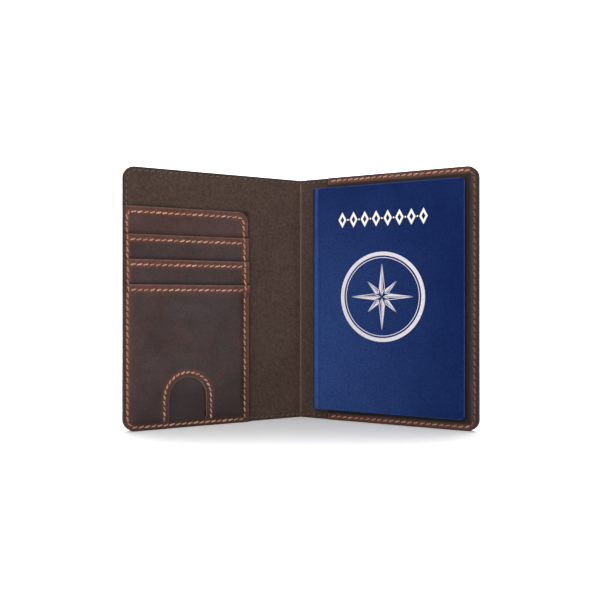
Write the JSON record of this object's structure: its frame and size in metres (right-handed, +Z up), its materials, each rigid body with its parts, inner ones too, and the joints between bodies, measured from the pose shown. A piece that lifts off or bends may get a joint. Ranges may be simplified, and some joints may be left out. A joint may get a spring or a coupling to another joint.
{
  "type": "passport holder",
  "caption": "Two-fold leather passport cover, open and standing, with card pockets left and a booklet in the right pocket.",
  "frame": {"origin": "middle of the box round the open holder, at its bottom edges, where it stands", "axes": "+Z up along the fold, +X from the card half to the passport half, +Y from the opening back to the fold"},
  "size_m": [0.1854, 0.056, 0.137],
  "materials": {
    "outer_leather": "matte",
    "pocket_leather": "satin",
    "suede_lining": "matte",
    "stiffener_board": "matte",
    "tan_thread": "matte",
    "brown_thread": "matte",
    "passport_cover": "satin",
    "passport_paper": "matte",
    "silver_foil": "satin",
    "cream_foil": "satin"
  },
  "bodies": {
    "right_half": {"outer_cover_right": "outer_leather", "stiffener_right": "stiffener_board", "lining_right": "suede_lining", "passport_pocket": "pocket_leather", "seam_passport_pocket": "tan_thread", "seam_outer_right": "tan_thread", "seam_lining_right_top": "brown_thread", "seam_lining_right_bottom": "brown_thread"},
    "spine_right": {"outer_cover_spine_right": "outer_leather", "lining_spine_right": "suede_lining"},
    "spine_left": {"outer_cover_spine_left": "outer_leather", "lining_spine_left": "suede_lining"},
    "left_half": {"outer_cover_left": "outer_leather", "stiffener_left": "stiffener_board", "lining_left": "suede_lining", "card_backing": "pocket_leather", "card_pocket_1": "pocket_leather", "card_pocket_2": "pocket_leather", "id_pocket_front": "pocket_leather", "seam_card_border": "tan_thread", "seam_slot_1": "tan_thread", "seam_slot_2": "tan_thread", "seam_slot_3": "tan_thread", "seam_thumb_arch": "tan_thread", "seam_outer_left": "tan_thread", "seam_lining_left_top": "brown_thread", "seam_lining_left_bottom": "brown_thread"},
    "passport": {"passport_cover_back": "passport_cover", "passport_spine": "passport_cover", "passport_cover_front": "passport_cover", "passport_pages": "passport_paper", "passport_emblem": "silver_foil", "passport_title_band": "cream_foil"}
  },
  "joints": [
    {"name": "right_fold", "type": "hinge", "parent": "right_half", "child": "spine_right", "pos_m": [0.00595, 0.02246, 0], "axis": [0, 0, 1], "range_deg": [0, 45]},
    {"name": "crease", "type": "hinge", "parent": "spine_right", "child": "spine_left", "pos_m": [0, 0.02576, 0], "axis": [0, 0, 1], "range_deg": [-58, 32]},
    {"name": "left_fold", "type": "hinge", "parent": "spine_left", "child": "left_half", "pos_m": [-0.00595, 0.02246, 0], "axis": [0, 0, 1], "range_deg": [0, 45]},
    {"name": "passport_slide", "type": "slide", "parent": "right_half", "child": "passport", "axis": [-0.8746, 0.4848, 0], "range_m": [-0.0012, 0.003]}
  ],
  "couplings": [
    {"joint": "left_fold", "follows": "right_fold", "ratio": 1}
  ]
}
